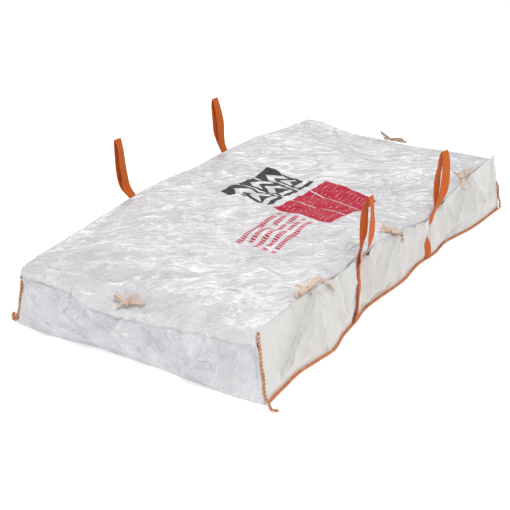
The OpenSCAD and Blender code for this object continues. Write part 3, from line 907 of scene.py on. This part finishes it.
def webbing_material(name, colour, ribs=0.0032, fading=0.0):
    """Woven tape with cross ribs; fading is how far it is rubbed pale in patches."""
    g = Graph(name)
    u, v = g.uv()
    twill = g.plus(g.wave(u, 0.0052), g.wave(g.plus(u, v), 0.0045))
    relief = g.plus(g.times(g.wave(v, ribs), 0.35), g.times(twill, 0.3))
    # painted shade: the grooves between the ribs and twill lines are darker
    shade = g.scaled(relief, 0.22, 0.5, clamp=True)
    base = g.mix(shade, tint(colour, 0.62), colour)
    base = g.mix(g.times(g.noise(22.0, 4.0), 0.315), base, tint(colour, 1.25, 0.01))
    if fading:
        faded = g.scaled(g.noise(70.0, 3.0), 3.0, -1.2, clamp=True)
        base = g.mix(g.times(faded, fading), base, (0.80, 0.52, 0.36))
    normal = g.bump(relief, 0.0006, 0.9)
    return g.set(Base_Color=base, Roughness=0.60, Normal=normal, Specular_IOR_Level=0.25)


def cord_material(name, colour):
    g = Graph(name)
    u, v = g.uv()
    turn = g.math("SUBTRACT", g.times(u, 2 * math.pi), g.times(v, math.pi / CORD_PITCH))
    groove = g.math("ABSOLUTE", g.math("COSINE", turn))
    fibres = g.math("SINE", g.scaled(v, 2 * math.pi / 0.0016, g.times(u, 12.0)))
    # painted shade: the grooves between the thread turns are darker
    shade = g.scaled(fibres, 0.12, g.math("POWER", groove, 0.6), clamp=True)
    base = g.mix(shade, tint(colour, 0.22), colour)
    # painted highlights: pale patches on the crests of the thread turns
    pale = g.scaled(g.noise(90.0, 2.0), 3.0, -1.2, clamp=True)
    base = g.mix(g.times(g.times(pale, groove), 0.75), base, (0.82, 0.66, 0.52))
    normal = g.bump(g.scaled(fibres, 0.25, groove), 0.0008, 0.8)
    return g.set(Base_Color=base, Roughness=0.66, Normal=normal, Specular_IOR_Level=0.25)


def cotton_material(name, colour):
    g = Graph(name)
    base = g.mix(g.noise(40.0, 4.0), tint(colour, 0.82), tint(colour, 1.06))
    weave = g.bump(g.weave(0.0018), 0.00035, 0.9)
    return g.set(Base_Color=base, Roughness=0.8, Normal=weave, Sheen_Weight=0.4, Sheen_Roughness=0.4)


def thread_material(name, colour):
    g = Graph(name)
    base = g.mix(g.noise(300.0, 2.0), tint(colour, 0.8), colour)
    return g.set(Base_Color=base, Roughness=0.6, Normal=g.bump(g.noise(900.0, 2.0), 0.0003))


ORANGE = (0.66, 0.135, 0.012)
film_lid = film_material("printed_film", FILM_COLOUR, True, 0.22, 0.85, 0.8)
film_inside = film_material("film_inside", FILM_COLOUR, False, 0.30, 0.85, 0.6)
# a little darker and bluer than the lid's film: painted shade of the end walls
film_wrap = film_material("film_fabric", (0.655, 0.652, 0.677), False, 0.22, 0.9, 0.6)
woven = woven_material("woven_fabric", (0.64, 0.628, 0.605))
webbing = webbing_material("orange_webbing", ORANGE)
binding = webbing_material("orange_binding", (0.64, 0.19, 0.055), 0.0026, 0.5)
cord_finish = cord_material("orange_seam_cord", (0.64, 0.24, 0.085))
cotton = cotton_material("cotton_tape", (0.76, 0.58, 0.46))
white_thread = thread_material("white_thread", (0.78, 0.78, 0.78))
orange_thread = thread_material("orange_thread", (0.80, 0.26, 0.06))


def finish_piece(piece, material, nodes=(), body=None):
    piece.data.materials.append(material)
    if nodes:
        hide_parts(*nodes)
    if body:
        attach(piece, body)
    return piece


finish_piece(lid, film_lid, ("lid_panel", "lid_hem_left", "lid_hem_right"))
lid.data.materials.append(film_inside)
lid.modifiers["thickness"].material_offset = 1
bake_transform(lid)
WALL_HEIGHT = float(np.mean(front_top_z(np.linspace(-END_X, END_X, 99))))
finish_piece(front_wall, woven, ("front_wall",), "bag")
finish_piece(back_wall, woven, ("back_wall",), "bag")
finish_piece(wrap, film_wrap, ("base_panel", "left_end_wall", "right_end_wall"), "bag")

# ---------- straps and their stitching
def box_stitch(side, x0, z):
    """Runs of stitches over a strap's two layers: three bars and two crossing lines."""
    x, half, tall = x0 + float(strap_wander(x0, z)), 0.019, 0.022
    across = np.linspace(-half, half, 12)
    runs = []
    for rise, lean in ((0, 0), (0.005, 0), (tall, 0), (0, tall), (tall, -tall)):
        level = z + rise + lean * (across + half) / (2 * half)
        near, middle, far = (wall_out(x + d, level, side) for d in (-0.02, 0, 0.02))
        out = (near + far) / 2 + np.maximum(middle - (near + far) / 2, 0) + (far - near) * across / 0.04
        points = np.stack([x + across, side * (out + STRAP_CLEAR + 2 * WEBBING + 0.0012), level], -1)
        runs.append((points, np.tile([0.0, side, 0.0], (len(points), 1))))
    return runs


strap_runs = []
for side, side_name in SIDES:
    for place, x0 in STRAP_X.items():
        which = f"{side_name}_{place}"
        piece = make_strap(side, which, x0)
        finish_piece(piece, webbing, (f"strap_{which}", f"loop_{which}"))
        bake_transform(piece)
        for z in (0.035, 0.10, 0.23) if which == "front_right" else (0.045, 0.165, 0.25):
            strap_runs += box_stitch(side, x0, z)
strap_stitching = stitches("strap_stitching", strap_runs, 0.0045, 0.0015, 0.0008)
finish_piece(strap_stitching, orange_thread, ("strap_bartacks",), "bag")


# ---------- seams
def make_seam_tape(side, name):
    """Flat tape over the bottom seam, a little wavy."""
    reach, width = CORD_X - CORD_RADIUS - 0.004, 0.015
    x = np.linspace(-reach, reach, 430)
    wave = Noise(160 + side)
    lift = 0.0045 + 0.006 * np.clip(wave(x * 7, 0 * x), 0, None)
    y = side * (foot_of(x, side) + 0.5 * width - 0.002 + 0.003 * wave(x * 5, 0 * x + 9))
    centre = np.stack([x, y, lift], -1)
    tilt = np.radians(24 + 22 * wave(x * 4, 0 * x + 30))
    across = np.stack([0 * x, side * np.cos(tilt), -np.sin(tilt) * 0.5], -1)
    piece = strip(name, centre, across, width, 0.0022, 5, -0.0012)
    low = min(v.co.z for v in piece.data.vertices)
    piece.data.transform(Matrix.Translation((0, 0, max(0.0, 0.0008 - low))))
    return piece


for side, side_name in SIDES:
    tape = make_seam_tape(side, f"{side_name}_seam_tape")
    finish_piece(tape, binding, (f"{side_name}_seam_binding",), "bag")


SEAM_CORD, FOLDED_CORD = 0.0054, 0.0080         # radius of a seam cord; the back left one looks doubled


def seam_cord_route(side, end):
    """Down the corner from its hook at the top, flaring out, then along the floor as a short tail."""
    x = end * (END_X + 0.001)

    def out(z):
        # the front right cord is tucked behind the front wall as it rises
        tucked = 0.014 * smooth((z - 0.13) / 0.05) if (side, end) == (-1, 1) else 0
        return side_at(end * END_X, z / TOP_Z, side) + 0.004 - tucked

    high = {(-1, -1): 0.318, (-1, 1): 0.290}.get((side, end), 0.272)
    points = [(x - end * 0.010, side * (out(high) - 0.007), high),
              (x - end * 0.002, side * (out(high) + 0.002), high)]
    points += [(x + end * 0.002 * math.sin(z * 40), side * (out(z) + 0.0015 * math.sin(z * 63)), z)
               for z in (high - 0.016, 0.25, 0.21, 0.17, 0.13, 0.095, 0.065)]
    foot = out(0.0)
    if (side, end) == (1, -1):  # this one folds back up on itself
        return points + [(x, foot + 0.004, 0.036), (x - 0.004, foot + 0.013, 0.014),
                         (x - 0.008, foot + 0.020, 0.022), (x - 0.009, foot + 0.020, 0.040),
                         (x - 0.006, foot + 0.014, 0.054)]
    turn, tail = {(-1, -1): (-0.030, 1.5), (-1, 1): (-0.010, 0.3), (1, 1): (0.015, 0.6)}[side, end]
    return points + [(x, side * (foot + 0.002), 0.036), (x + turn * 0.2, side * (foot + 0.014 * tail), 0.016),
                     (x + turn * 0.7, side * (foot + 0.028 * tail), 0.009),
                     (x + turn * 0.3, side * (min(foot + 0.046 * tail, TAIL_Y)), 0.0075)]


for side, side_name in SIDES:
    for end, end_name in ((-1, "left"), (1, "right")):
        corner = f"{side_name}_{end_name}"
        radius = FOLDED_CORD if corner == "back_left" else SEAM_CORD
        cord = rope(f"corner_seam_{corner}", seam_cord_route(side, end), radius, CORD_PITCH)
        finish_piece(cord, cord_finish, (f"corner_cord_{corner}",), "bag")


# ---------- ties
def ribbon_between(name, points, tilt, width=TAPE_WIDTH, skew=(0, 0)):
    line = route(points, 0.004)
    return strip(name, line, np.tile(tilt, (len(line), 1)), width, RIBBON, 4, 0.0010, skew)


def join(name, pieces):
    """Joins made pieces into one mesh, with their UV maps."""
    with bpy.context.temp_override(active_object=pieces[0], object=pieces[0],
                                   selected_objects=pieces, selected_editable_objects=pieces):
        bpy.ops.object.join()
    pieces[0].name = name
    pieces[0].data.name = name
    return pieces[0]


BOWS = {  # (along, inward, up) to the far end of each loop, then of each tail, from the knot
    "front_left": [(-0.103, 0.003, 0.004), (0.112, 0.004, 0.002), (0.180, -0.016, -0.080),
                   (-0.085, 0.000, 0.002)],
    "front_centre": [(-0.020, 0.036, 0.024), (0.050, -0.010, -0.010), (-0.050, 0.040, 0.016),
                     (0.060, -0.016, -0.070)],
    "front_right": [(-0.060, 0.002, -0.002), (0.088, 0.002, 0.008), (-0.075, -0.016, -0.050),
                    (0.060, 0.016, 0.006)],
    "left_end": [(0.074, 0.010, 0.018), (-0.014, 0.012, 0.030), (-0.075, 0.026, 0.002),
                 (0.032, -0.024, -0.022)],
    "right_end": [(0.066, 0.002, 0.032), (-0.085, 0.000, 0.012), (-0.105, 0.000, 0.002),
                  (0.040, 0.014, 0.004)],
}
# shares of the way out, of the lift and of the sideways swing
BOW_LOOP = [(0.02, 0.3, 0), (0.25, 0.8, 0.01), (0.60, 0.9, 0.02), (0.90, 0.8, 0.01), (1.0, 0.2, 0.0),
            (0.90, -0.4, 0.00), (0.60, -0.4, -0.01), (0.28, -0.2, -0.01), (0.02, -0.1, 0)]
BOW_TAIL = [(0.0, -0.3, 0), (0.25, 0.5, 0.05), (0.50, 0.5, 0.10), (0.75, 0.0, 0.04), (1.0, 0.0, -0.06)]
STANDING = {"right_end": 5, "front_left": 2.4, "front_centre": 2}  # these ribbons stand more on edge


def keep_clear(points, gap=0.007):
    """Lifts ribbon points off the lid and pushes them out of the walls."""
    for p in points:
        inside = abs(p[0]) < END_X - 0.02
        if p[1] > -LID_FRONT and (inside or p[2] > on_lid(p[0], p[1])[0][2] - 0.02):
            p[2] = max(p[2], on_lid(p[0], p[1])[0][2] + gap)
        elif inside:
            if p[2] > front_top_z(p[0]):
                p[2] = max(p[2], float(front_top_z(p[0])) + gap)
            wall = max(float(wall_out(p[0] + d, min(p[2], 0.30), -1)) for d in (-0.008, 0, 0.008))
            p[1] = min(p[1], -wall - gap)
        else:
            end = -1 if p[0] < 0 else 1
            p[0] = end * max(abs(p[0]), float(end_clearance(p[1], p[2], end)) + gap + 0.004)
    return points


def make_bow(name, knot, along, inward, place, seed):
    """A tied bow of soft tape: two flattened loops, two tails and the knot."""
    rng = np.random.default_rng(seed)
    knot, along, inward, up = (np.array(p, float) for p in (knot, along, inward, (0, 0, 1)))
    parts = []
    for k, (a, w, z) in enumerate(BOWS[place]):
        far = a * along + w * inward + z * up
        length = np.linalg.norm(far)
        side = unit(np.cross(far, up))
        side = side * (1 if side @ inward > 0 or abs(a) < abs(w) else -1)
        lift = up * rng.uniform(0.004, 0.006)
        shape, fall = (BOW_LOOP, 0) if k < 2 else (BOW_TAIL, min(z, 0))  # a tail drops only at its end
        points = [knot + s * far + (s ** 4 - s) * fall * up + h * lift + q * length * side
                  for s, h, q in shape]
        tilt = unit(side + rng.uniform(0.30, 0.55) * STANDING.get(place, 1) * up)
        points = keep_clear(route(points, 0.012))
        parts.append(ribbon_between(f"part{k}", points, tilt, skew=(0, 0.006) if k > 1 else (0, 0)))
    # two turns of tape round the knot
    wrap, turn = np.linspace(0, 2 * math.pi, 13), np.linspace(0.4, 5.4, 11)
    for name_part, angles, rise, reach, tilt, width in (
            ("wrap", wrap, 0.0085 * (up + 0.235 * along), 0.00675, along + 0.15 * up, 0.015),
            ("turn", turn, 0.0105 * (0.8 * up + 0.5 * along), 0.0062, along - 0.45 * up, 0.011)):
        ring = [knot + math.cos(t) * rise + reach * math.sin(t) * inward for t in angles]
        parts.append(ribbon_between(name_part, ring, unit(tilt), width))
    return join(name, parts)


def bow_on_lid(place, x, y, along, inward, seed):
    surface = max(on_lid(x + a * along[0] + w * inward[0], y + a * along[1] + w * inward[1])[0][2]
                  for a in (-0.01, 0, 0.01) for w in (-0.005, 0.01))
    return make_bow(f"bow_ribbon_{place}", (x, y, surface + 0.010), along, inward, place, seed)


def tape_on_lid(name, start, step):
    points = [on_lid(start[0] + k * step[0], start[1] + k * step[1]) for k in np.linspace(0, 1, 9)]
    line = np.array([p + n * 0.0016 for p, n in points])
    across = np.cross(unit(np.gradient(line, axis=0)), np.array([n for _, n in points]))
    return strip(name, line, across, TAPE_WIDTH, RIBBON, 4)


def tape_on_wall(name, x):
    z = np.linspace(float(front_top_z(x)) - 0.010, float(front_top_z(x)) + 0.002, 9)
    out = np.array([max(wall_out(x + d, h, -1) for d in (-0.009, -0.004, 0, 0.004, 0.009)) for h in z])
    line = np.stack([np.full(9, x), -(out + 0.004), z], -1)
    return strip(name, line, np.tile([1.0, 0, 0], (9, 1)), TAPE_WIDTH, RIBBON, 4)


def finish_tie(place, bow, on_wall, on_lid_cover):
    """Rides a tie's bow, and its two sewn tape ends, on their bodies."""
    finish_piece(bow, cotton, (f"bow_{place}",), f"bow_{place}")
    finish_piece(on_wall, cotton, (f"wall_tab_{place}",), "bag")
    finish_piece(on_lid_cover, cotton, (f"lid_tab_{place}",), "lid")


for seed, (where, x) in enumerate(TIE_X.items()):
    place = f"front_{where}"
    bow = bow_on_lid(place, x, -LID_Y - 0.002, (1, 0, 0), (0, 1, 0), 20 + seed)
    finish_tie(place, bow, tape_on_wall(f"wall_tape_{place}", x),
               tape_on_lid(f"lid_tape_{place}", (x, -LID_Y + 0.012), (0, 0.052)))
for end, place, inboard in ((-1, "left_end", 0.010), (1, "right_end", 0.001)):
    bow = bow_on_lid(place, end * (END_X - inboard), END_TIE_Y, (0, 1, 0), (-end, 0, 0), 30 + end)
    top = float((left_top_z if end < 0 else right_top_z)(END_TIE_Y)) - END_LOWER + 0.002
    z = np.linspace(top - 0.012, top, 9)
    out = np.array([end_out(END_TIE_Y, h, end) + 0.0008 for h in z])
    line = np.stack([end * out, np.full(9, END_TIE_Y), z], -1)
    tape = strip(f"wall_tape_{place}", line, np.tile([0, 1.0, 0], (9, 1)), TAPE_WIDTH, RIBBON, 4)
    finish_tie(place, bow, tape,
               tape_on_lid(f"lid_tape_{place}", (end * (END_X - 0.006), END_TIE_Y), (-end * 0.052, 0)))


# ---------- hem stitching
def wall_hem_run(side, below):
    x = np.linspace(-END_X + 0.02, END_X - 0.02, 400)
    z = wall_top_z(x, side) - below
    out = wall_out(x, z, side) + 0.0006
    return np.stack([x, side * out, z], -1), np.tile([0.0, side, 0.0], (400, 1))


def lid_hem_run(flat_points):
    made = [on_lid(x, y) for x, y in flat_points]
    return np.array([p + n * 0.0005 for p, n in made]), np.array([n for _, n in made])


wall_stitching = stitches("wall_hem_stitching", [wall_hem_run(-1, 0.022), wall_hem_run(1, 0.024)])
finish_piece(wall_stitching, white_thread, (), "bag")
lid_runs = [lid_hem_run([(end * (END_X - 0.008), y) for y in np.linspace(-LID_Y + 0.02, LID_Y - 0.06, 160)])
            for end in (-1, 1)]
lid_stitching = stitches("lid_hem_stitching", lid_runs)
finish_piece(lid_stitching, white_thread, (), "lid")


# ---------- floor, light
def make_floor():
    half = 60
    floor = add_object("floor", [(-half, -half, 0), (half, -half, 0), (half, half, 0), (-half, half, 0)],
                       [(0, 1, 2, 3)], smooth_shaded=False)
    g = Graph("floor")
    floor.data.materials.append(g.set(Base_Color=g.mix(g.noise(0.6), (0.93, 0.93, 0.93), (0.95, 0.95, 0.95)),
                                      Roughness=0.9, Emission_Color=(1, 1, 1, 1), Emission_Strength=0.30))


def add_light(name, place, aim, size, power, colour=(1, 1, 1)):
    data = bpy.data.lights.new(name, "AREA")
    data.shape, data.size, data.size_y = "RECTANGLE", size[0], size[1]
    data.energy, data.color = power, colour
    light = bpy.data.objects.new(name, data)
    light.location = place
    light.rotation_euler = (Vector(aim) - Vector(place)).to_track_quat("-Z", "Y").to_euler()
    bpy.context.scene.collection.objects.link(light)


def light_scene():
    world = bpy.data.worlds.new("studio")
    bpy.context.scene.world = world
    world.use_nodes = True
    shade = world.node_tree.nodes["Background"]
    shade.inputs[0].default_value = (0.98, 0.985, 1.0, 1)
    shade.inputs[1].default_value = 0.66
    add_light("key", (-2.4, -2.4, 4.6), (-0.4, -0.1, 0.2), (1.1, 1.1), 98, (1.0, 0.985, 0.965))
    # a wide softbox beyond the bag: creases that lean its way catch it
    add_light("softbox", (4.4, 2.9, 4.0), (-0.2, 0, 0.3), (5.0, 0.8), 112)
    add_light("side", (3.9, -2.9, 1.0), (0.2, -0.6, 0.2), (0.6, 1.2), 8)
    add_light("end", (-3.8, 2.4, 0.9), (-1.3, 0, 0.2), (0.5, 0.9), 8)


make_floor()
light_scene()
bpy.context.scene.view_settings.view_transform = "Standard"
